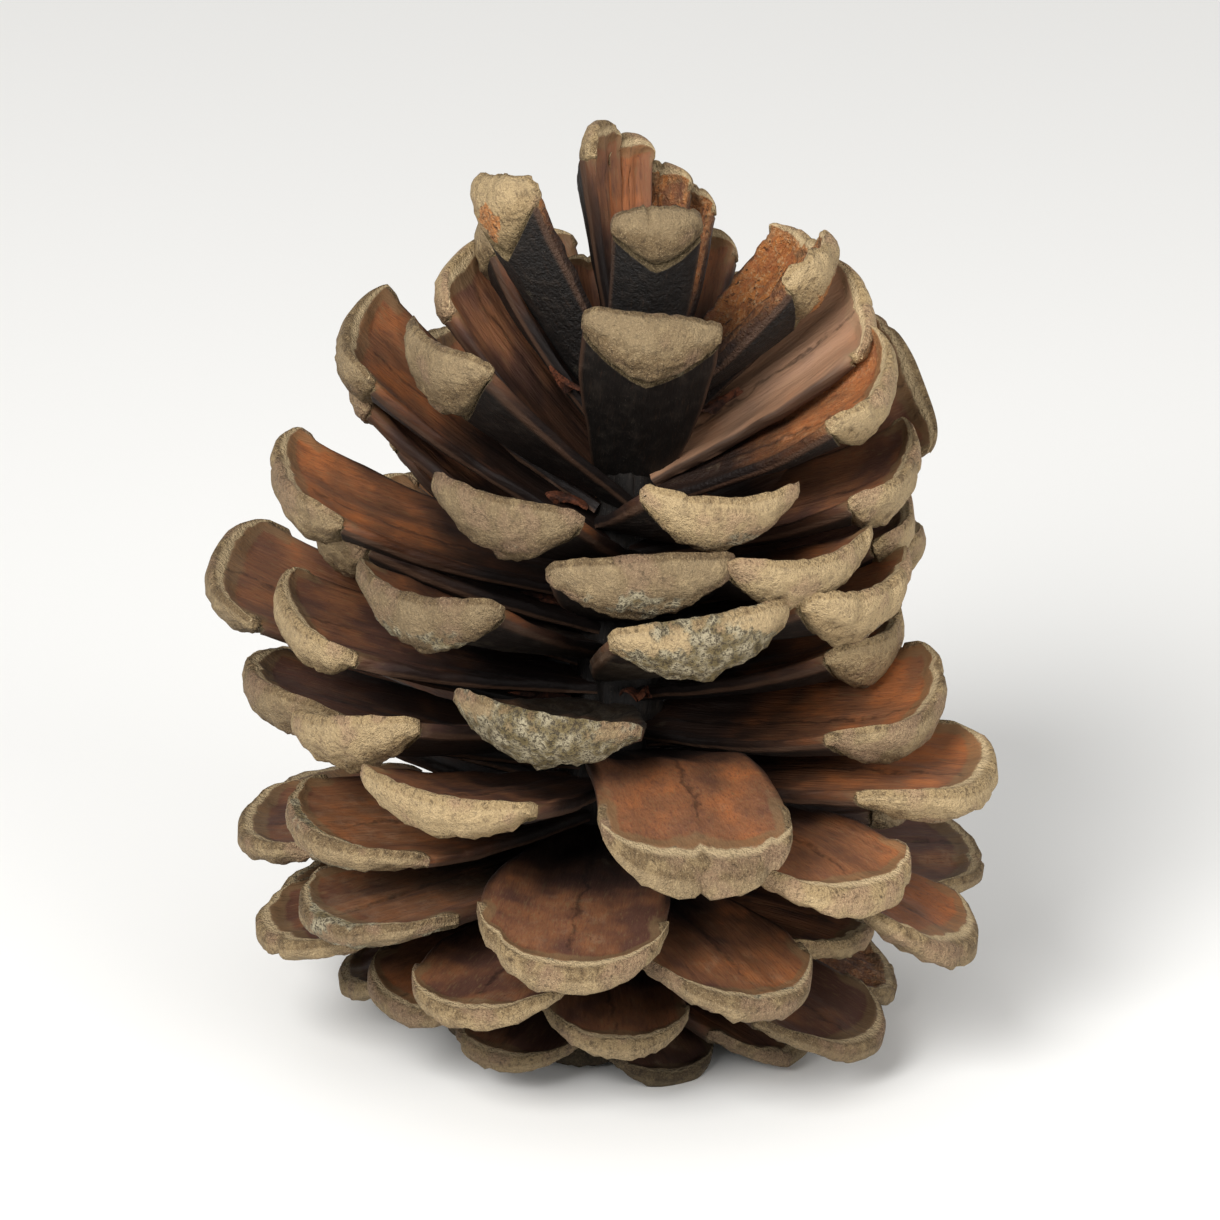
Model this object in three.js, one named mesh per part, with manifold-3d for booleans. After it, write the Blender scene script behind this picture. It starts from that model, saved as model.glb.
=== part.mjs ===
// An open pine cone, standing on the tips of its lowest seed scales.
//
// The cone is one piece: a woody axis with its seed scales grown out of it on a golden-angle
// spiral. Each scale is a wedge-rooted plate that widens outwards and ends in a thick shield
// with a keel across it. The lowest scales are small and bent down, the middle ones stand out
// level, the highest ones close up round the tip.
//
// Millimetres, +Z up. The origin is the centre of the stalk scar, on the surface it rests on.

import * as THREE from 'three';
import { mergeVertices } from 'three/addons/utils/BufferGeometryUtils.js';
import Module from 'manifold-3d';

// The whole cone.
const scaleCount = 117;
const goldenAngle = 137.508;     // degrees from one scale to the next
const firstAzimuth = 321.6;      // of the lowest scale; 0 faces -Y, 90 faces +X
const lean = 3.8;                // degrees, towards +X

// The scales at five even places in their order, from the foot of the axis to its tip.
const rootHeights = [1.4, 13.8, 27.6, 45.5, 59];         // up the axis
const scaleLengths = [6.5, 30, 29.5, 23.5, 18.3];
const scaleRises = [-16, -3.5, 14.5, 23, 81];            // degrees above level
const scaleLifts = [-0.08, -0.06, 0.06, 0.09, 0.06];     // how far the end bends up, share of length
const halfWidths = [3, 7.3, 7.6, 6.4, 2.1];
const rootWidths = [0.23, 0.21, 0.23, 0.35, 0.52];       // share of the full width
const cups = [0.05, 0.07, 0.17, 0.22, 0.16];             // how far the edges stand up, share of width
const shieldDepths = [1.1, 1.8, 3.2, 2.8, 1.4];          // below the scale's middle plane

// How much one scale differs from the next, either way.
const azimuthDrift = 3.0;        // degrees
const riseDrift = 3.5;
const rollDrift = 9.0;
const lengthDrift = 0.05;        // share of the length
const liftDrift = 0.035;
const cupDrift = 0.4;            // share of the cup

// Scales that dried out of line: degrees round the axis, degrees up, share of the length, roll.
const bentScales = {
  18: [-2, 8, 0, 0], 21: [0, 2, -0.08, 0], 23: [16, -2, 0.04, 0], 26: [-9, 5, 0, 5],
  28: [0, 2, -0.22, 0], 31: [6, 3.5, 0, -2], 34: [-14, 1, 0, 4], 36: [8, 5, 0.08, -12],
  39: [-6, 0, 0, 0], 41: [15, 1, -0.2, 0], 44: [9, 3, 0, 0], 46: [4, 0, -0.1, 0],
  47: [-9.5, 2.7, 0, 5], 49: [0, 0.8, 0.1, 8], 52: [3, 6, 0, 0], 54: [0, 0, -0.22, 0],
  55: [-14, -6, 0, 18], 57: [18, -4, 0, 12], 58: [0, 0.3, 0.2, -8], 60: [-6.5, -4, 0, 1],
  62: [0, 0, -0.15, 0], 63: [-10, -4, 0.05, -4], 65: [-9, 8.5, 0, 9], 68: [-14, 1.5, 0, -2],
  70: [0, 3, 0, 6], 71: [0, 0, 0, 0], 73: [0, 7, 0, 5], 75: [0, 0, -0.05, 10],
  76: [-26, -3, 0.2, -8], 78: [2, -2, 0.02, 0], 79: [0, 12, 0.09, -10], 81: [-13.5, 1, 0.01, -1],
  83: [0, -1, 0.09, 12], 84: [-18, 11, 0.2, -15], 86: [2, -5, 0.03, 3], 88: [-3, 2, 0.12, 55],
  89: [-22, 9, 0.12, 3], 91: [14, -1, 0.2, 24], 92: [-6, 17, 0.05, -20],
  94: [8, 19.5, -0.03, -2], 96: [0, 2, 0.12, 34], 103: [-4, -5, -0.25, 0],
  104: [8, -10, 0.14, 8], 105: [3, 0, 0.22, 30], 106: [20, -2, -0.02, 0], 107: [-4, 5, 0.08, 0],
  115: [-98, 0, 0.13, -5],
};
// Scales that dried flatter or more hollow than the rest.
const cuppedScales = {
  39: 0.02, 44: 0.06, 47: 0.12, 49: 0.24, 52: 0.06, 57: 0.42, 65: 0.1, 73: 0.08, 78: 0.26,
  83: 0.3, 86: 0.27, 91: 0.42, 94: 0.1, 96: 0.2,
};
// Ends that bend down from halfway: share of the length.
const endBends = { 31: -0.03, 36: -0.1, 39: -0.1, 44: -0.14, 49: -0.06, 52: -0.34 };
// Scales of the tip that have broken off.
const missingScales = [97, 99, 102, 108, 109, 110, 112, 113, 114];

// The woody axis: height and radius.
const axisProfile = [[-4, 3.4], [0, 4.4], [9.5, 4.3], [31, 3.6], [50, 2.6], [60, 1.2]];
const axisSides = 10;
const rootDepth = 1.4;           // where a scale starts, from the axis's centre line

// One scale at five places along it: share of its length, how far it has widened from root to
// full width, thickness above, thickness below the plate, share of the shield's depth below.
const scaleStations = [
  [0.00, 0.00, 0.45, 0.45, 0.00],
  [0.44, 0.60, 0.55, 1.10, 0.00],
  [0.80, 1.00, 0.60, 0.00, 1.00],
  [0.93, 0.86, 0.55, 0.00, 0.74],
  [1.00, 0.38, 0.35, 0.00, 0.30],
];
// Its cross-section: share of the half width, and of the thickness above or below.
const scaleSection = [[1, 0], [0.6, 1], [-0.6, 1], [-1, 0], [-0.6, -0.66], [0, -1], [0.6, -0.66]];
const cutBlock = 200;            // side of the block that everything above the ground is cut with

const wasm = await Module();
wasm.setup();

const degrees = THREE.MathUtils.degToRad;

// A repeatable draw from -1 to 1 for scale number n.
function draw(n, salt) {
  const wave = Math.sin(n * 127.1 + salt * 311.7) * 43758.5453;
  return 2 * (wave - Math.floor(wave)) - 1;
}

// A smooth run through five values at equal steps of t from 0 to 1.
function along(values, t) {
  const span = Math.min(Math.floor(t * 4), 3);
  const f = t * 4 - span;
  const value = (i) => values[THREE.MathUtils.clamp(i, 0, 4)];
  const slope = (i) => (value(i + 1) - value(i - 1)) / (i > 0 && i < 4 ? 2 : 1);
  const start = value(span);
  const end = value(span + 1);
  const bend = 2 * f ** 3 - 3 * f ** 2;
  return start * (1 + bend) - end * bend
    + slope(span) * (f ** 3 - 2 * f ** 2 + f) + slope(span + 1) * (f ** 3 - f ** 2);
}

// Lofts a closed solid through rings that all have the same number of points.
function loft(rings) {
  const count = rings[0].length;
  const triangles = [];
  for (let i = 0; i < rings.length - 1; i++) {
    for (let j = 0; j < count; j++) {
      const next = (j + 1) % count;
      const a = i * count + j;
      const b = i * count + next;
      triangles.push(a, b, a + count, b, b + count, a + count);
    }
  }
  const last = (rings.length - 1) * count;
  for (let j = 1; j < count - 1; j++) {
    triangles.push(0, j + 1, j);
    triangles.push(last, last + j, last + j + 1);
  }
  const geometry = new THREE.BufferGeometry().setFromPoints(rings.flat());
  geometry.setIndex(triangles);
  return geometry;
}

// A scale that points along +X with its upper face to +Z and its root at the origin.
function makeScale({ length, lift, bend, cup, halfWidth, rootWidth, shieldDepth }) {
  const rings = scaleStations.map(([reach, widening, above, plate, shield]) => {
    const width = halfWidth * THREE.MathUtils.lerp(rootWidth, 1, widening);
    const below = plate + shield * shieldDepth;
    const rise = length * (lift * reach ** 3 + bend * Math.max(2 * reach - 1, 0) ** 2);
    return scaleSection.map(([across, height]) => new THREE.Vector3(
      length * reach,
      across * width,
      height * (height > 0 ? above : below) + rise + cup * halfWidth * across ** 2 * reach ** 0.8,
    ));
  });
  return loft(rings);
}

// Puts scale number n in its place on the spiral.
function placeScale(n) {
  const t = (n + 0.5) / scaleCount;
  const drift = [azimuthDrift, riseDrift, lengthDrift, rollDrift].map((size, i) => size * draw(n, i + 1));
  const [turn, tilt, stretch, roll] = bentScales[n] ?? drift;
  const geometry = makeScale({
    length: along(scaleLengths, t) * (1 + stretch) - rootDepth,
    lift: along(scaleLifts, t) + liftDrift * draw(n, 5),
    bend: endBends[n] ?? 0,
    cup: cuppedScales[n] ?? along(cups, t) * (1 + cupDrift * draw(n, 13)),
    halfWidth: along(halfWidths, t),
    rootWidth: along(rootWidths, t),
    shieldDepth: along(shieldDepths, t),
  });
  geometry.rotateX(degrees(roll));
  geometry.rotateY(degrees(-along(scaleRises, t) - tilt));
  geometry.translate(rootDepth, 0, along(rootHeights, t));
  geometry.rotateZ(degrees(firstAzimuth - goldenAngle * n + turn - 90));
  return geometry;
}

function makeAxis() {
  const profile = axisProfile.map(([height, radius]) => new THREE.Vector2(radius, height));
  profile.unshift(new THREE.Vector2(0, profile[0].y));
  profile.push(new THREE.Vector2(0, profile.at(-1).y));
  return new THREE.LatheGeometry(profile, axisSides).rotateX(Math.PI / 2);
}

function toSolid(geometry) {
  const plain = geometry.clone();
  plain.deleteAttribute('normal');
  plain.deleteAttribute('uv');
  const merged = mergeVertices(plain, 1e-5);
  return new wasm.Manifold(new wasm.Mesh({
    numProp: 3,
    vertProperties: merged.attributes.position.array,
    triVerts: Uint32Array.from(merged.index.array),
  }));
}

function toGeometry(solid) {
  const mesh = solid.getMesh();
  const geometry = new THREE.BufferGeometry();
  geometry.setAttribute('position', new THREE.BufferAttribute(mesh.vertProperties, 3));
  geometry.setIndex(new THREE.BufferAttribute(mesh.triVerts, 1));
  geometry.computeVertexNormals();
  return geometry;
}

// The biggest body alone: it fills the small hollows that the crowded roots close off.
function biggestBody(solid) {
  const bodies = solid.decompose();
  return bodies.reduce((best, body) => (body.volume() > best.volume() ? body : best));
}

function makeCone() {
  let cone = toSolid(makeAxis());
  for (let n = 0; n < scaleCount; n++) {
    if (!missingScales.includes(n)) cone = cone.add(toSolid(placeScale(n)));
  }
  const leaning = toSolid(toGeometry(cone).rotateY(degrees(lean)));
  const aboveGround = new THREE.BoxGeometry(cutBlock, cutBlock, cutBlock);
  aboveGround.translate(0, 0, cutBlock / 2);
  return toGeometry(biggestBody(leaning.intersect(toSolid(aboveGround))));
}

const wood = new THREE.MeshStandardMaterial({ color: 0x8a6a4c, roughness: 0.8, metalness: 0 });

const pineCone = new THREE.Group();
const cone = new THREE.Mesh(makeCone(), wood);
cone.name = 'cone';
pineCone.add(cone);

export default pineCone;
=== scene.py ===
import math
from types import SimpleNamespace

import bpy
import bmesh
import numpy as np
from mathutils import Matrix, Vector


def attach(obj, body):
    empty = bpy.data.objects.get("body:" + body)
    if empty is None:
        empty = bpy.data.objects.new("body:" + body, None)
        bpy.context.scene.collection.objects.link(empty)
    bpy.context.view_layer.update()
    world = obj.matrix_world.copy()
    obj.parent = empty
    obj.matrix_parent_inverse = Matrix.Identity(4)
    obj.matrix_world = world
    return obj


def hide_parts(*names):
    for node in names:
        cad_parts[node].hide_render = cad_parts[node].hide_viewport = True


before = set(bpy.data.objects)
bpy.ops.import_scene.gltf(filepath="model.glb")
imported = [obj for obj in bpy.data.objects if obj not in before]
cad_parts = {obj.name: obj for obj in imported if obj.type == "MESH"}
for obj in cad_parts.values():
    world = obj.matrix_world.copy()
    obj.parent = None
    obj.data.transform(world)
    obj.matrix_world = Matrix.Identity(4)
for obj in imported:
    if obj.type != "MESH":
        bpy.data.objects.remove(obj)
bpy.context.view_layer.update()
mm = 0.001

# How the cone grows: the same rule, sizes and draws as its solid has. Millimetres and degrees.
growth = {
    "scaleCount": 117,
    "goldenAngle": 137.508,
    "firstAzimuth": 321.6,      # 0 faces -Y, 90 faces +X
    "rootDepth": 1.4,
    "lean": 3.8,
    # the next ones hold at five even places from foot to tip
    "heights": (1.4, 13.8, 27.6, 45.5, 59.0),     # of the roots, up the axis
    "lengths": (6.5, 30.0, 29.5, 23.5, 18.3),
    "rises": (-16, -3.5, 14.5, 23.0, 81),
    "lifts": (-0.08, -0.06, 0.06, 0.09, 0.06),    # how far the end bends up, share of the length
    "halfWidths": (3.0, 7.3, 7.6, 6.4, 2.1),
    "rootWidths": (0.23, 0.21, 0.23, 0.35, 0.52),
    "shieldDepths": (1.1, 1.8, 3.2, 2.8, 1.4),
    "cups": (0.05, 0.07, 0.17, 0.22, 0.16),       # how far the edges stand up, share of the half width
    "drifts": (3.0, 3.5, 0.05, 9.0, 0.035),       # round, up, share of the length, roll, lift
    "cupDrift": 0.4,
    "bent": {                                     # scales that dried out of line
        18: (-2, 8, 0, 0), 21: (0, 2, -0.08, 0), 23: (16, -2, 0.04, 0), 26: (-9, 5, 0, 5),
        28: (0, 2, -0.22, 0), 31: (6, 3.5, 0, -2), 34: (-14, 1, 0, 4), 36: (8, 5, 0.08, -12),
        39: (-6, 0, 0, 0), 41: (15, 1, -0.2, 0), 44: (9, 3, 0, 0), 46: (4, 0, -0.1, 0),
        47: (-9.5, 2.7, 0, 5), 49: (0, 0.8, 0.1, 8), 52: (3, 6, 0, 0), 54: (0, 0, -0.22, 0),
        55: (-14, -6, 0, 18), 57: (18, -4, 0, 12), 58: (0, 0.3, 0.2, -8), 60: (-6.5, -4, 0, 1),
        62: (0, 0, -0.15, 0), 63: (-10, -4, 0.05, -4), 65: (-9, 8.5, 0, 9),
        68: (-14, 1.5, 0, -2), 70: (0, 3, 0, 6), 71: (0, 0, 0, 0), 73: (0, 7, 0, 5),
        75: (0, 0, -0.05, 10), 76: (-26, -3, 0.2, -8), 78: (2, -2, 0.02, 0),
        79: (0, 12, 0.09, -10), 81: (-13.5, 1, 0.01, -1), 83: (0, -1, 0.09, 12),
        84: (-18, 11, 0.2, -15), 86: (2, -5, 0.03, 3), 88: (-3, 2, 0.12, 55),
        89: (-22, 9, 0.12, 3), 91: (14, -1, 0.2, 24), 92: (-6, 17, 0.05, -20),
        94: (8, 19.5, -0.03, -2), 96: (0, 2, 0.12, 34), 103: (-4, -5, -0.25, 0),
        104: (8, -10, 0.14, 8), 105: (3, 0, 0.22, 30), 106: (20, -2, -0.02, 0),
        107: (-4, 5, 0.08, 0), 115: (-98, 0, 0.13, -5),
    },
    "bends": {31: -0.03, 36: -0.1, 39: -0.1, 44: -0.14, 49: -0.06, 52: -0.34},    # ends bent down
    "cupped": {39: 0.02, 44: 0.06, 47: 0.12, 49: 0.24, 52: 0.06, 57: 0.42, 65: 0.10, 73: 0.08,
               78: 0.26, 83: 0.3, 86: 0.27, 91: 0.42, 94: 0.10, 96: 0.2},
    "missing": (97, 99, 102, 108, 109, 110, 112, 113, 114),
}

# The number that each kind of random draw is seeded with, besides the scale's own.
salts = {
    "azimuth": 1, "rise": 2, "length": 3, "roll": 4, "lift": 5, "cup": 13,
    "endRound": 5, "roundness": 6, "skew": 7, "chipped": 8, "chipDepth": 9, "chipPlace": 10,
    "creaseAt": 11, "sway": 14, "twist": 15, "creaseEnd": 16, "shieldStart": 17, "boss": 18,
    "grainX": 21, "grainY": 22, "grainZ": 23, "tone": 31, "crust": 32, "warmth": 33,
    "bract": 40, "bractLength": 41, "bractWidth": 42, "bractSide": 43, "bractCurl": 44,
    "waveTurn": 50, "waveRate": 70, "wavePhase": 90,
}


def draw(n, kind, step=0):
    # the same number from -1 to 1 on every run
    wave = math.sin(n * 127.1 + (salts[kind] + step) * 311.7) * 43758.5453
    return 2 * (wave - math.floor(wave)) - 1


def along(values, t):
    # a smooth run through five values at even steps of t
    span = min(int(t * 4), 3)
    f = t * 4 - span
    before, start, end, after = (values[min(max(span + i, 0), 4)] for i in (-1, 0, 1, 2))
    startSlope = (end - before) / (2 if span > 0 else 1)
    endSlope = (after - start) / (2 if span < 3 else 1)
    bend = 2 * f ** 3 - 3 * f ** 2
    return (start * (1 + bend) - end * bend
            + startSlope * (f ** 3 - 2 * f ** 2 + f) + endSlope * (f ** 3 - f ** 2))


def scaleFacts(n):
    t = (n + 0.5) / growth["scaleCount"]
    kinds = ("azimuth", "rise", "length", "roll", "lift")
    drift = [size * draw(n, kind) for kind, size in zip(kinds, growth["drifts"])]
    turn, tilt, stretch, roll = growth["bent"].get(n, drift[:4])
    cup = along(growth["cups"], t) * (1 + growth["cupDrift"] * draw(n, "cup"))
    return {
        "n": n,
        "t": t,
        "halfWidth": along(growth["halfWidths"], t),
        "rootWidth": along(growth["rootWidths"], t),
        "shieldDepth": along(growth["shieldDepths"], t),
        "length": along(growth["lengths"], t) * (1 + stretch) - growth["rootDepth"],
        "lift": along(growth["lifts"], t) + drift[4],
        "bend": growth["bends"].get(n, 0.0),
        "cup": growth["cupped"].get(n, cup),
        "azimuth": growth["firstAzimuth"] - growth["goldenAngle"] * n + turn,
        "rise": along(growth["rises"], t) + tilt,
        "roll": roll,
        "height": along(growth["heights"], t),
    }


def turned(degrees, axis):
    return Matrix.Rotation(math.radians(degrees), 4, axis)


def placeMatrix(facts):
    # from a scale that points along +X to its place on the leaning cone
    root = Matrix.Translation((growth["rootDepth"], 0, facts["height"]))
    return (turned(growth["lean"], "Y") @ turned(facts["azimuth"] - 90, "Z") @ root
            @ turned(-facts["rise"], "Y") @ turned(facts["roll"], "X"))


allScales = [scaleFacts(n) for n in range(growth["scaleCount"]) if n not in growth["missing"]]


def smooth(value, low, high):
    f = np.clip((value - low) / (high - low), 0, 1)
    return f * f * (3 - 2 * f)


def bump(value, centre, width):
    return np.exp(-((value - centre) / width) ** 2)


def ripple(x, y, seed, size, octaves=3):
    # soft repeatable unevenness, about -1 to 1, with features of the given size
    total = np.zeros(np.broadcast(x, y).shape)
    for i in range(octaves * 3):
        octave = i // 3
        turn = math.pi * (draw(seed, "waveTurn", i) + 0.31 * i)
        rate = 2 * math.pi / size * 1.7 ** octave * (1 + 0.25 * draw(seed, "waveRate", i))
        phase = math.pi * draw(seed, "wavePhase", i)
        total += np.sin(rate * (x * math.cos(turn) + y * math.sin(turn)) + phase) * 0.6 ** octave
    return total / 3.2


# The blank that every scale is shaped from: a grid pulled down into a closed slab. Its X runs
# from root to end, and its Y across.
scaleBlank = {"rows": 54, "columns": 30}


def makeBlank(rows, columns):
    bm = bmesh.new()
    bmesh.ops.create_grid(bm, x_segments=rows, y_segments=columns, size=1)
    pulled = bmesh.ops.extrude_face_region(bm, geom=bm.faces[:])
    under = [part for part in pulled["geom"] if isinstance(part, bmesh.types.BMVert)]
    bmesh.ops.translate(bm, verts=under, vec=(0, 0, -1))
    bmesh.ops.recalc_face_normals(bm, faces=bm.faces[:])
    blank = bpy.data.meshes.new("blank")
    bm.to_mesh(blank)
    bm.free()
    return blank


def copyBlank(name, blank, count):
    # a mesh of so many copies, and the points of one of them
    bm = bmesh.new()
    for copy in range(count):
        bm.from_mesh(blank)
    mesh = bpy.data.meshes.new(name)
    bm.to_mesh(mesh)
    bm.free()
    return mesh, np.array([vertex.co[:] for vertex in blank.vertices])


# The form of one scale, in millimetres or shares of its length and half width.
scaleForm = {
    # the next five hold at five even places from foot to tip
    "shieldStarts": (0.70, 0.77, 0.76, 0.72, 0.66),   # where the shield starts, along the middle
    "shieldCorners": (0.80, 0.80, 0.83, 0.87, 0.86),  # and at its corners
    "endRounds": (0.28, 0.25, 0.15, 0.10, 0.14),
    "blunts": (0.4, 0.35, 0.2, 0.05, 0.0),            # how steeply the end is cut off
    "rootSpreads": (1.0, 1.0, 1.15, 1.45, 1.25),      # fleshier roots than the bare spiral needs
    "squareEnds": {52: 0.09, 44: 0.17, 47: 0.12},
    "shortShields": {107: 0.1},
    "torn": {101: 1.0, 104: 0.8, 91: 0.3, 111: 0.8, 105: 0.65, 106: 0.7, 107: 0.6, 20: 0.5},
    # rows of the blank: how far along it, and there how far along the shield
    "plateEnd": 0.45,
    "topRows": ((0.45, 0.0), (0.86, 0.80), (0.94, 0.94), (1.0, 1.0)),
    # below, also the shield's thickness and how much a blunt end adds to it
    "stepStart": 0.43,
    "underRows": ((0.43, 0.00, 0.36, 0.00), (0.47, 0.04, 0.62, 0.00), (0.60, 0.24, 0.95, 0.00),
                  (0.75, 0.52, 1.00, 0.05), (0.88, 0.80, 0.72, 0.25), (0.96, 0.96, 0.38, 0.50),
                  (1.00, 1.00, 0.12, 0.65)),
    "plateRows": ((0.0, 0.40), (0.2, 0.60), (0.45, 1.0)),
    "plateThickness": 1.7,
    "topThickness": 0.55,
    "leastThickness": 0.5,
    "plateRib": 0.25,
    "rimHeight": 0.20,
    "edgeRounding": 0.30,
    "endRounding": 0.28,
    "imprintDepth": 0.40,
    "creaseDepth": 0.22,
    "keelHeight": 0.07,
    "umboHeight": 0.20,
    "umboMoat": 0.14,
    "sway": 0.03,                                     # sideways at the end, share of the length
    "twist": 5,                                       # degrees at the end, either way
    "usualHalfWidth": 7.2,                            # small relief shrinks with narrower scales
    # unevenness: its height, the size of its features, its seed and its octaves
    "ripples": {
        "endLine": (0.12, 9.0, 400, 2),
        "stepLine": (0.15, 10.0, 500, 2),
        "sideLine": (0.03, 9.0, 600, 3),
        "waves": (0.10, 3.5, 0, 3),
        "furrows": (0.05, 1.6, 50, 3),
        "tornWood": (0.35, 2.4, 700, 3),
        "plate": (0.07, 2.2, 300, 3),
        "keelLine": (0.05, 1.5, 800, 3),
        "ridges": (0.12, 1.8, 100, 3),
        "lumps": (0.20, 3.0, 200, 3),
        "grains": (0.09, 1.2, 250, 2),
    },
}


def uneven(kind, n, x, y):
    height, size, seed, octaves = scaleForm["ripples"][kind]
    return height * ripple(x, y, n + seed, size, octaves)


def shapeOutline(facts, share, across):
    # how far each point lies along the scale, on its top and underneath, and how wide it is
    form = scaleForm
    n, t, length = (facts[key] for key in ("n", "t", "length"))
    side = np.abs(across)
    straight = across * 0

    # the end is an arc from corner to corner, a little askew, chipped here and there
    skew = 0.10 * draw(n, "skew")
    roundness = 2.5 + 0.4 * draw(n, "roundness")
    usualRound = along(form["endRounds"], t) * (1 + 0.3 * draw(n, "endRound"))
    endRound = form["squareEnds"].get(n, usualRound)
    offCentre = np.clip(np.abs(across - skew * (1 - across ** 2)), 0, 1)
    endX = length * (1 - endRound * (1 - (1 - offCentre ** roundness) ** 0.62))
    endX += uneven("endLine", n, across * 7, straight) - 0.03
    for chip in range(0, 90, 30):
        if draw(n, "chipped", chip) > 0.1:
            depth = facts["small"] * (0.35 + 0.3 * draw(n, "chipDepth", chip))
            endX -= depth * bump(across, 0.85 * draw(n, "chipPlace", chip), 0.05)

    # the shield starts on a line that bows from corner to corner
    corner = min(along(form["shieldCorners"], t), 0.985 - endRound)
    start = along(form["shieldStarts"], t) + 0.03 * draw(n, "shieldStart")
    start += form["shortShields"].get(n, 0.0)
    startX = length * (start + (corner - start) * side ** 1.15)
    startX += uneven("stepLine", n, across * 7, straight)
    shieldX = endX - startX

    plateEnd, stepStart = form["plateEnd"], form["stepStart"]
    topShares, topWays = zip(*form["topRows"])
    topX = np.where(share < plateEnd, startX * share / plateEnd,
                    startX + shieldX * np.interp(share, topShares, topWays))
    underShares, underWays = list(zip(*form["underRows"]))[:2]
    underX = np.where(share < stepStart, startX * share / stepStart,
                      startX + shieldX * np.interp(share, underShares, underWays))
    return topX, underX


def shapeTop(facts, share, across, x, y, reach):
    # two shallow prints of the seed wings, a crease between them and a rim round the end
    form = scaleForm
    n = facts["n"]
    side = np.abs(across)
    inField = smooth(reach, 0.12, 0.3) * (1 - smooth(share, 0.74, 0.86))
    prints = bump(side, 0.45, 0.26) * inField
    creaseLine = facts["creaseAt"] + 0.03 * np.sin(x * 0.5 + n)
    crease = bump(across, creaseLine, 0.04) * smooth(reach, 0.1, 0.25)
    crease *= 1 - smooth(share, 0.62 + 0.1 * draw(n, "creaseEnd"), 0.76)
    rim = np.maximum(smooth(share, 0.80, 0.90), smooth(side, 0.80, 0.92) * smooth(share, 0.45, 0.65))
    z = form["topThickness"] - form["imprintDepth"] * prints - form["creaseDepth"] * crease
    z += form["rimHeight"] * rim
    z -= form["edgeRounding"] * smooth(side, 0.95, 1) + form["endRounding"] * smooth(share, 0.955, 1)
    z += uneven("waves", n, x * 0.35, y * 1.6) + uneven("furrows", n, x * 0.2, y * 2.0)
    return z + facts["torn"] * uneven("tornWood", n, x, y * 1.4) * smooth(reach, 0.3, 0.6)


def shapePlate(facts, share, across, x, y, reach):
    # the thin plate under the scale, with a faint rib along its middle
    form = scaleForm
    thickness = form["plateThickness"] * np.interp(share, *zip(*form["plateRows"]))
    z = -thickness * (1 - 0.55 * np.abs(across) ** 3)
    z -= form["plateRib"] * bump(across, 0, 0.35) * smooth(reach, 0.1, 0.4)
    return z + uneven("plate", facts["n"], x * 0.3, y * 1.8)


def shapeShield(facts, share, across, x, y):
    # the thick end under the scale, with a keel across it and a worn boss on the keel
    form = scaleForm
    n, small = facts["n"], facts["small"]
    side = np.abs(across)
    shares, ways, falls, bluntFalls = zip(*form["underRows"])
    blunt = along(form["blunts"], facts["t"]) - 1.5 * facts["bend"]
    fall = np.interp(share, shares, falls) + blunt * np.interp(share, shares, bluntFalls)
    z = -facts["shieldDepth"] * fall * (1 - 0.93 * side ** 2.0) ** 0.8
    keelLine = share + uneven("keelLine", n, across * 3, across * 0)
    z -= form["keelHeight"] * bump(keelLine, 0.64, 0.03) * (1 - side) * small
    offBoss = np.sqrt(((share - 0.66) / 0.06) ** 2 + ((across - 0.1 * draw(n, "boss")) / 0.18) ** 2)
    umbo = form["umboHeight"] * (1 - smooth(offBoss, 0.5, 1.05))
    z -= small * (umbo - form["umboMoat"] * bump(offBoss, 1.3, 0.3))
    grainy = uneven("ridges", n, across * 8, share * 2) + uneven("lumps", n, x, y)
    grainy += uneven("grains", n, across * 7, share * 9)
    plateEnd = form["plateEnd"]
    return z + grainy * smooth(share, plateEnd, plateEnd + 0.14) * (1 - smooth(share, 0.95, 1)) * small


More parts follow.
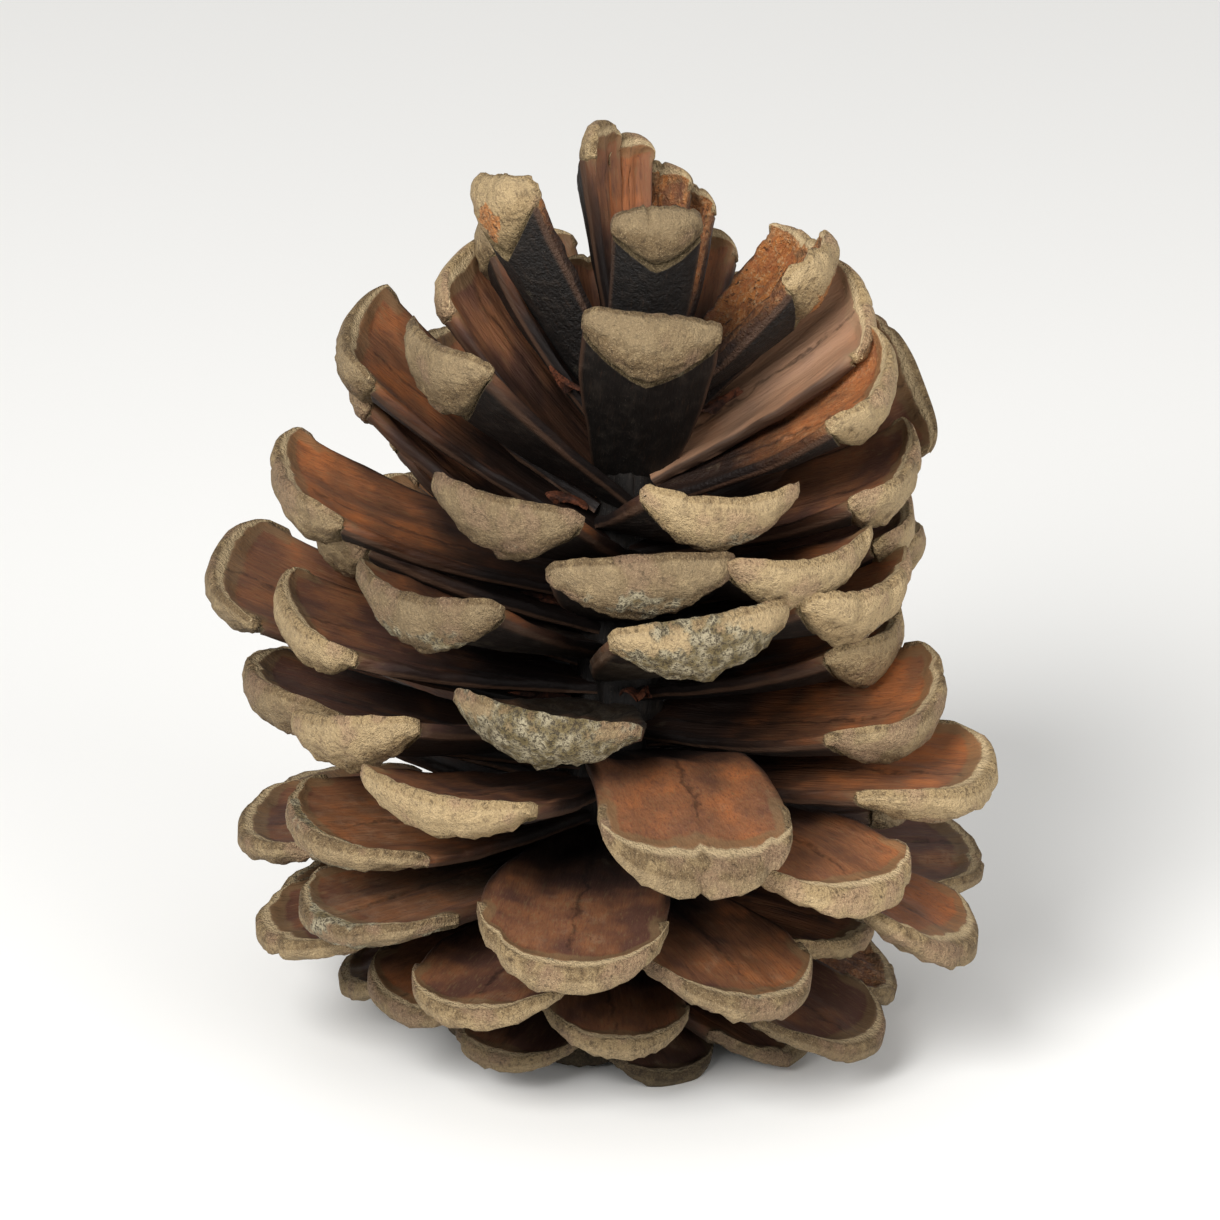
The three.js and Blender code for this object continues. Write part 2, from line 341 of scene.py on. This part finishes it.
def shapeScale(blank, facts):
    # returns the points of one scale lying along +X, and what its finish needs to know
    form = scaleForm
    n, t, length, halfWidth = (facts[key] for key in ("n", "t", "length", "halfWidth"))
    share = (blank[:, 0] + 1) / 2
    across = blank[:, 1] * (1.25 - 0.25 * blank[:, 1] ** 2)
    top = blank[:, 2] > -0.5
    facts = {**facts, "small": halfWidth / form["usualHalfWidth"],
             "torn": form["torn"].get(n, 0.0), "creaseAt": 0.07 * draw(n, "creaseAt")}

    topX, underX = shapeOutline(facts, share, across)
    x = np.where(top, topX, underX)
    reach = np.clip(x / length, 0, 1)
    plateShare = np.clip(share / form["plateEnd"], 0, 1)
    root = facts["rootWidth"] * along(form["rootSpreads"], t)
    width = root + (0.97 - root) * np.sin(math.pi / 2 * plateShare) ** 1.1
    width += 0.04 * smooth(share, form["plateEnd"], 0.7)
    width += uneven("sideLine", n, x, np.sign(across) * 5) * plateShare
    y = across * halfWidth * width

    topZ = shapeTop(facts, share, across, x, y, reach)
    plateZ = shapePlate(facts, share, across, x, y, reach)
    underZ = np.where(share > form["plateEnd"], shapeShield(facts, share, across, x, y), plateZ)
    z = np.where(top, topZ, np.minimum(underZ, topZ - form["leastThickness"]))

    # the whole scale is cupped, lifts or drops towards its end and dries with a slight twist
    z += facts["cup"] * halfWidth * across ** 2 * reach ** 0.8
    z += length * (facts["lift"] * reach ** 3 + facts["bend"] * np.clip(2 * reach - 1, 0, 1) ** 2)
    y += form["sway"] * length * draw(n, "sway") * reach ** 2
    twist = math.radians(form["twist"]) * draw(n, "twist") * reach ** 2
    y, z = y * np.cos(twist) - z * np.sin(twist), y * np.sin(twist) + z * np.cos(twist)

    points = np.stack([x, y, z], 1)
    grainShift = 40 * np.array([draw(n, kind) for kind in ("grainX", "grainY", "grainZ")])
    marks = (scaleCrust(facts), facts["creaseAt"], facts["torn"])
    return points, {
        "where": np.stack([share, across, 1.0 - top], 1),
        "grain": points + grainShift,
        "look": np.tile(scaleLook(facts), (len(points), 1)),
        "marks": np.tile(marks, (len(points), 1)),
    }


# How the scales differ in colour: brightness, warmth and the painted shade of the lowest ones, from 0 to
# about 1, and lichen.
scaleTints = {
    "tone": {52: 0.3, 96: 1.3, 91: 0.9, 44: 1.0, 86: 0.85, 47: 1.0, 94: 0.2, 57: 0.5, 88: 0.3,
             34: 0.2, 39: 0.5, 31: 0.25, 78: 0.85, 92: 1.0, 101: 0.9, 105: 0.8, 81: 0.15,
             68: 0.05, 73: 0.2, 36: 0.4},
    "warmth": {52: 0.65, 44: 0.55, 39: 0.35, 31: 0.6, 91: 0.85, 96: 0.6, 57: 0.75, 101: 1.0,
               26: 0.2, 92: 0.4},
    "drift": 0.45,                        # of brightness and warmth, about one half
    "shadedBelow": 0.26,                     # the lowest scales, a share of all, are darkened with painted shade
    "crusts": {60: 1.25, 65: 1.1, 68: 0.5, 73: 0.4, 34: 0.8, 42: 0.7, 24: 0.6, 11: 0.5},
    "crustDrift": 0.3,
}


def scaleLook(facts):
    n, tints = facts["n"], scaleTints
    tone, warmth = (tints[kind].get(n, 0.5 + tints["drift"] * draw(n, kind)) for kind in ("tone", "warmth"))
    # the last is painted shade, darkest on the lowest scales
    return tone, warmth, 1 - float(smooth(facts["t"], 0.02, tints["shadedBelow"]))


def scaleCrust(facts):
    n = facts["n"]
    return scaleTints["crusts"].get(n, max(0.0, scaleTints["crustDrift"] * draw(n, "crust")))


restHeight = 0.03                         # the lowest ends are worn flat, just off the floor


def placePoints(points, matrix):
    placed = points @ np.array(matrix.to_3x3()).T + np.array(matrix.translation)
    placed[:, 2] = np.maximum(placed[:, 2], restHeight)
    return placed * mm


def setPoints(mesh, points):
    mesh.vertices.foreach_set("co", points.astype(np.float32).ravel())
    mesh.update()


def addAttributes(mesh, values):
    for name, vectors in values.items():
        layer = mesh.attributes.new(name, "FLOAT_VECTOR", "POINT")
        layer.data.foreach_set("vector", vectors.astype(np.float32).ravel())


def newObject(name, mesh, material):
    piece = bpy.data.objects.new(name, mesh)
    bpy.context.scene.collection.objects.link(piece)
    mesh.materials.append(material)
    mesh.polygons.foreach_set("use_smooth", [True] * len(mesh.polygons))
    mesh.set_sharp_from_angle(angle=math.radians(60))
    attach(piece, "root")
    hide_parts("cone")
    return piece


def makeScales(name, scales, blank, material):
    mesh, blankPoints = copyBlank(name, blank, len(scales))
    shaped = [shapeScale(blankPoints, facts) for facts in scales]
    placed = [placePoints(points, placeMatrix(facts)) for (points, finish), facts in zip(shaped, scales)]
    setPoints(mesh, np.concatenate(placed))
    finishes = [finish for points, finish in shaped]
    addAttributes(mesh, {key: np.concatenate([finish[key] for finish in finishes]) for key in finishes[0]})
    return newObject(name, mesh, material)


class Shader:
    # a short way to add and wire nodes
    def __init__(self, name):
        self.material = bpy.data.materials.new(name)
        self.material.use_nodes = True
        self.tree = self.material.node_tree
        self.tree.nodes.clear()

    def set(self, socket, value):
        if isinstance(value, bpy.types.NodeSocket):
            self.tree.links.new(value, socket)
        else:
            socket.default_value = value

    def node(self, kind, inputs, **settings):
        made = self.tree.nodes.new("ShaderNode" + kind)
        for name, value in settings.items():
            setattr(made, name, value)
        for key, value in inputs.items():
            self.set(made.inputs[key], value)
        return made

    def math(self, operation, *values):
        return self.node("Math", dict(enumerate(values)), operation=operation).outputs[0]

    def add(self, a, b):
        return self.math("ADD", a, b)

    def times(self, a, b):
        return self.math("MULTIPLY", a, b)

    def minus(self, a, b):
        return self.math("SUBTRACT", a, b)

    def linear(self, value, slope, start):
        return self.math("MULTIPLY_ADD", value, slope, start)

    def swing(self, value, size):
        # a value from 0 to 1, made to swing about zero
        return self.linear(value, size, -size / 2)

    def invert(self, value):
        return self.minus(1.0, value)

    def ramp(self, value, low, high):
        inputs = {"Value": value, "From Min": low, "From Max": high}
        return self.node("MapRange", inputs, interpolation_type="SMOOTHSTEP").outputs["Result"]

    def mix(self, factor, a, b):
        return self.node("Mix", {0: factor, 6: a, 7: b}, data_type="RGBA").outputs[2]

    def paint(self, base, *coats):
        # lays coats over a colour, each given as where it lies, how strong it is and its colour
        for place, strength, coat in coats:
            base = self.mix(self.times(place, strength), base, coat)
        return base

    def noise(self, vector, scale, detail, roughness):
        inputs = {"Vector": vector, "Scale": scale, "Detail": detail, "Roughness": roughness}
        return self.node("TexNoise", inputs).outputs["Fac"]

    def stretched(self, vector, scales):
        return self.node("Mapping", {"Vector": vector, "Scale": scales}).outputs[0]

    def attribute(self, name):
        return self.node("Attribute", {}, attribute_name=name).outputs["Vector"]

    def parts(self, name):
        return self.node("SeparateXYZ", {"Vector": self.attribute(name)}).outputs[:3]

    def finish(self, baseColour, roughness, height, strength, distance):
        inputs = {"Strength": strength, "Distance": distance, "Height": height}
        relief = self.node("Bump", inputs).outputs[0]
        inputs = {"Base Color": baseColour, "Roughness": roughness, "Normal": relief,
                  "Specular IOR Level": 0.3}
        shader = self.node("BsdfPrincipled", inputs)
        self.node("OutputMaterial", {"Surface": shader.outputs[0]})
        return self.material


def rgb(red, green, blue):
    # a colour given as it looks on screen, 0 to 255
    return tuple((c / 255) ** 2.2 for c in (red, green, blue)) + (1.0,)


def colours(table):
    return SimpleNamespace(**{key: rgb(*value) for key, value in table.items()})


# The wood's colours as they look in daylight.
woodColours = {
    "shieldPale": (146, 124, 90),
    "shieldTan": (112, 92, 65),
    "shieldOlive": (86, 74, 50),
    "shieldPink": (140, 112, 90),
    "shieldBrown": (62, 48, 34),
    "rimPale": (186, 163, 126),
    "faceOrange": (148, 89, 52),
    "faceBrown": (114, 75, 51),
    "facePlum": (80, 54, 44),
    "faceDark": (20, 14, 12),
    "rawOrange": (166, 104, 54),
    "plateBlack": (22, 18, 15),
    "plateGrey": (50, 43, 37),
    "plateEdge": (84, 62, 48),
    "dust": (150, 142, 128),
    "lichenGrey": (160, 150, 124),
    "lichenGreen": (104, 92, 62),
    "lichenDark": (42, 36, 27),
}

# Its patterns: how the grain's millimetres are stretched, then scale, detail and roughness.
woodPatterns = {
    "fibres": ((0.10, 1.0, 1.0), 1.6, 4, 0.62),
    "fineFibres": ((0.10, 1.0, 1.0), 5.5, 3, 0.6),
    "streaks": ((0.35, 1.6, 1.0), 2.2, 3, 0.65),
    "blotch": (None, 0.25, 2, 0.5),
    "wander": (None, 0.45, 3, 0.6),
    "mottle": (None, 0.8, 4, 0.65),
    "pitting": (None, 1.9, 3, 0.8),
    "grit": (None, 3.2, 3, 0.75),
    "fineGrit": (None, 8.0, 2, 0.7),
}

woodFinish = {
    "shieldRough": 0.85,
    "faceRough": 0.62,
    "roughDrift": 0.2,
    "relief": 0.0008,                     # metres that the coarsest grain stands up
    "reliefStrength": 0.8,
    "brightness": (0.76, 0.44),           # of the dullest scale, and what the palest has more
    "ageing": 0.86,                       # how much darker the painted shade makes the lowest scales
}


def readScale(s):
    # what the points of a scale say of themselves, and the patterns of its wood
    w = SimpleNamespace(colour=colours(woodColours))
    w.share, w.signed, w.under = s.parts("where")         # from root to end, across, and 1 below
    w.tone, w.warmth, w.age = s.parts("look")
    w.crusted, w.creaseAt, w.torn = s.parts("marks")
    w.across = s.math("ABSOLUTE", w.signed)
    grain = s.attribute("grain")
    for name, (stretch, *settings) in woodPatterns.items():
        space = s.stretched(grain, stretch) if stretch else grain
        setattr(w, name, s.noise(space, *settings))
    w.pits = s.invert(s.ramp(w.pitting, 0.36, 0.43))
    w.waver = s.swing(w.mottle, 0.07)
    return w


def shieldMask(s, w):
    # the thick end below, and the rim that it shows on the upper face
    below = s.times(s.ramp(w.share, 0.437, 0.449), s.ramp(w.under, 0.30, 0.45))
    rimEnd = s.ramp(s.add(w.share, w.waver), 0.855, 0.880)
    rimSide = s.times(s.ramp(s.add(w.across, w.waver), 0.90, 0.935), s.ramp(w.share, 0.50, 0.64))
    return s.math("MAXIMUM", below, s.math("MAXIMUM", rimEnd, rimSide))


def rawColour(s, w):
    # wood laid bare where the scale has torn
    c = w.colour
    return s.paint(
        c.rawOrange,
        (s.ramp(w.grit, 0.48, 0.66), 0.5, c.rimPale),
        (w.pits, 0.9, c.faceDark),
        (s.ramp(w.streaks, 0.45, 0.62), 0.4, c.facePlum))


def shieldColour(s, w, raw):
    # dull tan wood, speckled dark and pale, darker and olive where it meets the plate, paler at its crown,
    # with a painted highlight along the rim
    c = w.colour
    low = s.invert(s.ramp(s.add(w.share, s.swing(w.mottle, 0.3)), 0.46, 0.72))
    above = s.invert(s.ramp(w.under, 0.3, 0.6))
    # a thin pale line on top of the rim: painted highlight along the ridge
    rimHighlight = s.times(s.ramp(s.add(w.share, w.waver), 0.86, 0.88), s.invert(s.ramp(w.share, 0.90, 0.95)))
    crown = s.ramp(s.add(w.share, s.swing(w.mottle, 0.24)), 0.76, 0.90)
    crown = s.times(crown, s.ramp(w.under, 0.3, 0.6))
    offHeart = s.times(s.math("ABSOLUTE", s.minus(w.share, 0.76)), 3.0)
    offHeart = s.add(s.add(offHeart, w.across), s.swing(w.mottle, 0.6))
    heart = s.times(s.invert(s.ramp(offHeart, 0.36, 0.44)), s.ramp(w.torn, 0.6, 0.65))
    pale = s.ramp(s.add(w.mottle, s.swing(w.tone, 0.3)), 0.43, 0.58)
    return s.paint(
        s.mix(pale, c.shieldTan, c.shieldPale),
        (s.ramp(w.blotch, 0.50, 0.62), 0.6, c.shieldPink),
        (low, 0.75, c.shieldOlive),
        (s.ramp(w.grit, 0.52, 0.68), 0.42, c.shieldBrown),
        (s.ramp(w.fineGrit, 0.54, 0.68), 0.5, c.rimPale),
        (w.pits, 0.6, c.shieldBrown),
        (s.ramp(w.streaks, 0.53, 0.66), 0.5, c.shieldBrown),
        (s.times(rimHighlight, above), 0.8, c.rimPale),
        (crown, s.linear(s.ramp(w.blotch, 0.40, 0.60), -0.20, 0.34), c.rimPale),
        (heart, 0.8, raw))


def faceColour(s, w, raw):
    # plum to orange brown, fibrous, paler at its margin, near black towards the axis, partly the wood's own
    # dark base and partly painted shade under the scales above
    c = w.colour
    heat = s.linear(w.warmth, 0.45, s.linear(w.blotch, 0.9, -0.28))
    heat = s.add(heat, s.times(w.signed, s.swing(w.warmth, 0.3)))
    sides = s.times(s.ramp(w.across, 0.70, 0.90), s.ramp(w.share, 0.30, 0.55))
    margin = s.math("MAXIMUM", sides, s.ramp(w.share, 0.68, 0.85))
    margin = s.ramp(s.add(margin, s.swing(w.mottle, 0.7)), 0.45, 0.75)
    # towards the axis: the wood's own dark base and painted shade under the scales above
    darkBaseAndShade = s.invert(s.ramp(s.add(w.share, s.swing(w.blotch, 0.16)), 0.18, 0.45))
    sideEdge = s.times(s.ramp(w.across, 0.88, 0.97), s.invert(s.ramp(w.share, 0.36, 0.50)))
    offCrease = s.minus(s.minus(w.signed, w.creaseAt), s.swing(w.wander, 0.34))
    crease = s.invert(s.ramp(s.math("ABSOLUTE", offCrease), 0.002, 0.050))
    crease = s.times(crease, s.ramp(s.linear(w.share, -0.35, w.mottle), 0.12, 0.36))
    return s.paint(
        c.facePlum,
        (s.ramp(heat, 0.18, 0.44), 1.0, c.faceBrown),
        (s.ramp(heat, 0.42, 0.72), 1.0, c.faceOrange),
        (s.ramp(w.fibres, 0.48, 0.72), 0.40, c.facePlum),
        (s.ramp(w.fineFibres, 0.54, 0.70), 0.45, c.shieldTan),
        (s.invert(s.ramp(w.fineFibres, 0.34, 0.46)), 0.5, c.facePlum),
        (margin, 0.55, c.shieldTan),
        (s.ramp(w.grit, 0.60, 0.74), 0.35, c.faceDark),
        # the palest scales get a pale pink face, partly their own colour and partly painted light on a face
        # the lamps leave in shade
        (s.ramp(w.tone, 0.95, 1.35), 0.6, c.shieldPink),
        (s.ramp(w.mottle, 0.35, 0.6), w.torn, raw),
        # dark base and painted shade, weaker on the palest scales
        (darkBaseAndShade, s.linear(s.ramp(w.tone, 0.9, 1.3), -0.75, 0.95), c.faceDark),
        (sideEdge, 0.8, c.faceDark),
        (crease, 0.55, c.faceDark))


def plateColour(s, w):
    # near black, with a dusty bloom in streaks and browner edges
    c = w.colour
    return s.paint(
        c.plateBlack,
        (s.ramp(w.mottle, 0.45, 0.75), 0.55, c.plateGrey),
        (s.ramp(w.fineFibres, 0.56, 0.8), 0.25, c.plateEdge),
        (s.ramp(w.across, 0.92, 1.0), 0.6, c.plateEdge),
        (s.ramp(w.fineGrit, 0.66, 0.76), 0.35, c.dust))


def lichenCoat(s, w, shield):
    # a crust in patches on the middle of the shield, grey with green and dark in it
    c = w.colour
    patches = s.linear(w.blotch, 1.1, s.times(w.mottle, 0.9))
    outer = s.add(s.ramp(w.across, 0.35, 0.95), s.ramp(w.share, 0.84, 1.0))
    crust = s.linear(w.crusted, 0.62, s.minus(patches, 1.20))
    crust = s.minus(crust, s.times(outer, 0.36))
    crust = s.times(s.ramp(crust, 0.0, 0.16), s.linear(shield, 0.9, 0.1))
    crustColour = s.mix(s.ramp(w.mottle, 0.40, 0.58), c.lichenGreen, c.lichenGrey)
    crustColour = s.paint(crustColour, (s.ramp(w.grit, 0.47, 0.58), 0.85, c.lichenDark))
    return crust, 0.9, crustColour


def woodMaterial():
    finish = woodFinish
    s = Shader("coneWood")
    w = readScale(s)
    shield = shieldMask(s, w)
    raw = rawColour(s, w)
    tint = s.mix(s.ramp(w.under, 0.45, 0.75), faceColour(s, w, raw), plateColour(s, w))
    tint = s.mix(shield, tint, shieldColour(s, w, raw))
    dullest, more = finish["brightness"]
    # each scale's brightness, with painted shade darkening the lowest ones
    value = s.times(s.linear(w.tone, more, dullest), s.linear(w.age, -finish["ageing"], 1.0))
    tint = s.node("HueSaturation", {"Color": tint, "Value": value}).outputs[0]
    tint = s.paint(tint, lichenCoat(s, w, shield))

    rough = s.linear(shield, finish["shieldRough"] - finish["faceRough"], finish["faceRough"])
    rough = s.add(rough, s.swing(w.mottle, finish["roughDrift"]))

    # fine fibres on the face, coarser rubble on shields and torn wood
    fibrous = s.times(s.times(w.fibres, 0.3), s.linear(shield, -0.7, 1.0))
    rubble = s.linear(w.grit, 0.9, s.linear(w.mottle, 0.8, -0.85))
    height = s.add(fibrous, s.times(s.math("MAXIMUM", shield, w.torn), rubble))
    return s.finish(tint, rough, height, finish["reliefStrength"], finish["relief"])


# Torn slivers of the bracts, under some of the scale roots. Millimetres.
bract = {
    "length": 3.6,
    "width": 1.8,
    "thickness": 0.22,
    "reach": 3.2,                         # from the axis's centre line
    "drop": 1.6,                          # below the scale's middle plane
    "curl": 0.9,                          # how far the torn end bends down
    "wave": 0.25,
    "rows": 12,
    "columns": 6,
    "share": 0.45,                        # of the scales have kept one
    "between": (0.2, 0.93),               # and only those of this part of the spiral
}

bractColours = {"red": (106, 62, 42), "brown": (58, 38, 30), "dark": (26, 19, 17)}


def bractMaterial():
    c = colours(bractColours)
    s = Shader("bractFibre")
    place = s.node("TexCoord", {}).outputs["Object"]
    patches = s.noise(place, 420, 4, 0.6)
    fibres = s.noise(place, 2600, 4, 0.7)
    tint = s.mix(s.ramp(patches, 0.42, 0.58), c.brown, c.red)
    tint = s.paint(tint, (s.ramp(fibres, 0.50, 0.66), 0.7, c.dark))
    return s.finish(tint, 0.75, fibres, 0.6, 0.0003)


def shapeBract(blank, facts):
    n, t = facts["n"], facts["t"]
    share = (blank[:, 0] + 1) / 2
    across = blank[:, 1]
    torn = 1 + 0.35 * np.sin(across * 5 + n) * smooth(share, 0.4, 1)
    x = bract["reach"] * (1 - 0.5 * t)
    x = x + bract["length"] * share * torn * (1 + 0.3 * draw(n, "bractLength"))
    taper = 1 - 0.55 * smooth(share, 0.3, 1)
    y = across * bract["width"] / 2 * taper * (1 + 0.3 * draw(n, "bractWidth")) + 0.8 * draw(n, "bractSide")
    z = -bract["drop"] - bract["curl"] * share ** 2 * (1 + 0.8 * draw(n, "bractCurl"))
    z += bract["wave"] * np.sin(across * 3 + 5 * share + n)
    z += np.where(blank[:, 2] > -0.5, 0, -bract["thickness"])
    return np.stack([x, y, z], 1)


def makeBracts(material):
    low, high = bract["between"]
    kept = 2 * bract["share"] - 1
    scales = [facts for facts in allScales if low < facts["t"] < high and draw(facts["n"], "bract") < kept]
    blank = makeBlank(bract["rows"], bract["columns"])
    mesh, blankPoints = copyBlank("bracts", blank, len(scales))
    bpy.data.meshes.remove(blank)
    placed = [placePoints(shapeBract(blankPoints, facts), placeMatrix(facts)) for facts in scales]
    setPoints(mesh, np.concatenate(placed))
    return newObject("bracts", mesh, material)


# The woody axis the scales stand on, with the broken stalk scar below. Millimetres.
axisForm = {
    "profile": ((0.0, 3.3), (0.5, 3.9), (3.0, 4.5), (9.5, 4.3),            # height and radius
                (31, 3.6), (50, 2.6), (60, 1.3), (61.2, 0.6)),
    "tip": 0.4,
    "ringSteps": 56,
    "heightSteps": 90,
    "ridge": 0.35,
    "scarRadius": 3.0,
    "scarDepth": 0.55,
    "scarRim": 0.1,
    "scarRoughness": 0.12,
    # how its wood is finished: as the part of a scale near the axis, seen from below, with a little painted
    # shade
    "where": (0.2, 0.0, 0.9),
    "look": (0.5, 0.5, 0.2),
    "marks": (0.0, 0.5, 0.0),
}


def turnAxis():
    form = axisForm
    bm = bmesh.new()
    heights = np.linspace(restHeight, form["profile"][-1][0], form["heightSteps"])
    radii = np.interp(heights, *zip(*form["profile"]))
    outline = [(radii[0] * share, heights[0]) for share in (0, 0.25, 0.5, 0.75)]
    outline += [*zip(radii, heights), (0, heights[-1] + form["tip"])]
    line = [bm.verts.new((radius, 0, height)) for radius, height in outline]
    edges = [bm.edges.new(pair) for pair in zip(line, line[1:])]
    bmesh.ops.spin(bm, geom=line + edges, cent=(0, 0, 0), axis=(0, 0, 1), dvec=(0, 0, 0),
                   angle=2 * math.pi, steps=form["ringSteps"], use_merge=True, use_duplicate=False)
    bmesh.ops.remove_doubles(bm, verts=bm.verts[:], dist=0.001)
    bmesh.ops.recalc_face_normals(bm, faces=bm.faces[:])
    mesh = bpy.data.meshes.new("axis")
    bm.to_mesh(mesh)
    bm.free()
    return mesh


def makeAxis(material):
    form = axisForm
    mesh = turnAxis()
    points = np.zeros(len(mesh.vertices) * 3)
    mesh.vertices.foreach_get("co", points)
    points = points.reshape(-1, 3)
    x, y, z = points.T
    radius = np.hypot(x, y)
    angle = np.arctan2(y, x)
    swell = form["ridge"] * ripple(np.cos(angle) * 4 + z * 0.2, np.sin(angle) * 4, 7, 3.0)
    points[:, :2] *= (1 + swell / np.maximum(radius, 1.5) * (radius > 1.4))[:, None]
    scar = (z < 0.05) & (radius < form["scarRadius"])
    hollow = form["scarDepth"] - form["scarRim"]
    z[scar] += hollow * (1 - radius[scar] / form["scarRadius"]) + form["scarRim"]
    z[scar] += form["scarRoughness"] * ripple(x[scar], y[scar], 9, 1.2)
    setPoints(mesh, placePoints(points, turned(growth["lean"], "Y")))
    finish = {key: np.tile(form[key], (len(points), 1)) for key in ("where", "look", "marks")}
    addAttributes(mesh, {"grain": points[:, [2, 0, 1]] + 3.0, **finish})
    return newObject("axis", mesh, material)


wood = woodMaterial()
blank = makeBlank(scaleBlank["rows"], scaleBlank["columns"])
bands = ("footScales", "lowScales", "middleScales", "highScales", "tipScales")
for label, scales in zip(bands, np.array_split(allScales, len(bands))):
    makeScales(label, scales, blank, wood)
    print("shaped", len(scales), "scales of", label)
bpy.data.meshes.remove(blank)
makeAxis(wood)
print("turned the axis")
makeBracts(bractMaterial())
print("added the bract slivers")


# Floor, lights and camera. The lights and the floor are in metres, the camera in millimetres.
stage = {
    "floorSize": 3.0,
    "floorColour": (236, 235, 232),
    "worldStrength": 0.54,
    "lights": {                           # place, size and watts
        "key": ((-0.32, -0.66, 0.56), 0.45, 10),
        "fill": ((0.5, -0.6, 0.3), 0.6, 3.5),
    },
    "litHeight": 0.035,
    "target": (1.6, 0, 36.5),
    "distance": 623,
    "elevation": 19.6,
    "frameWidth": 99.7,                   # what the picture spans at the cone
    "sensorWidth": 36,
}


def link(name, data):
    made = bpy.data.objects.new(name, data)
    bpy.context.scene.collection.objects.link(made)
    return made


def makeFloor():
    bm = bmesh.new()
    bmesh.ops.create_grid(bm, x_segments=2, y_segments=2, size=stage["floorSize"] / 2)
    mesh = bpy.data.meshes.new("floor")
    bm.to_mesh(mesh)
    bm.free()
    paper = bpy.data.materials.new("paper")
    paper.use_nodes = True
    shader = paper.node_tree.nodes["Principled BSDF"]
    shader.inputs["Base Color"].default_value = rgb(*stage["floorColour"])
    shader.inputs["Roughness"].default_value = 0.9
    mesh.materials.append(paper)
    link("floor", mesh)


def makeWorld():
    world = bpy.data.worlds.new("studio")
    world.use_nodes = True
    background = world.node_tree.nodes["Background"]
    background.inputs["Color"].default_value = (1, 1, 1, 1)
    background.inputs["Strength"].default_value = stage["worldStrength"]
    bpy.context.scene.world = world


def aim(holder, place, target):
    holder.location = place
    holder.rotation_euler = (Vector(target) - Vector(place)).to_track_quat("-Z", "Y").to_euler()


def addLight(name, place, size, power):
    lamp = bpy.data.lights.new(name, "AREA")
    lamp.shape = "DISK"
    lamp.size = size
    lamp.energy = power
    aim(link(name, lamp), place, (0, 0, stage["litHeight"]))


def makeCamera():
    camera = bpy.data.cameras.new("camera")
    camera.sensor_width = stage["sensorWidth"]
    camera.lens = camera.sensor_width * stage["distance"] / stage["frameWidth"]
    camera.clip_start = 0.01
    target = Vector(stage["target"]) * mm
    tilt = math.radians(stage["elevation"])
    away = Vector((0, -math.cos(tilt), math.sin(tilt))) * stage["distance"] * mm
    holder = link("camera", camera)
    aim(holder, target + away, target)
    bpy.context.scene.camera = holder


makeFloor()
makeWorld()
for name, settings in stage["lights"].items():
    addLight(name, *settings)
makeCamera()
print("set the stage")

bpy.context.scene.view_settings.view_transform = "Standard"
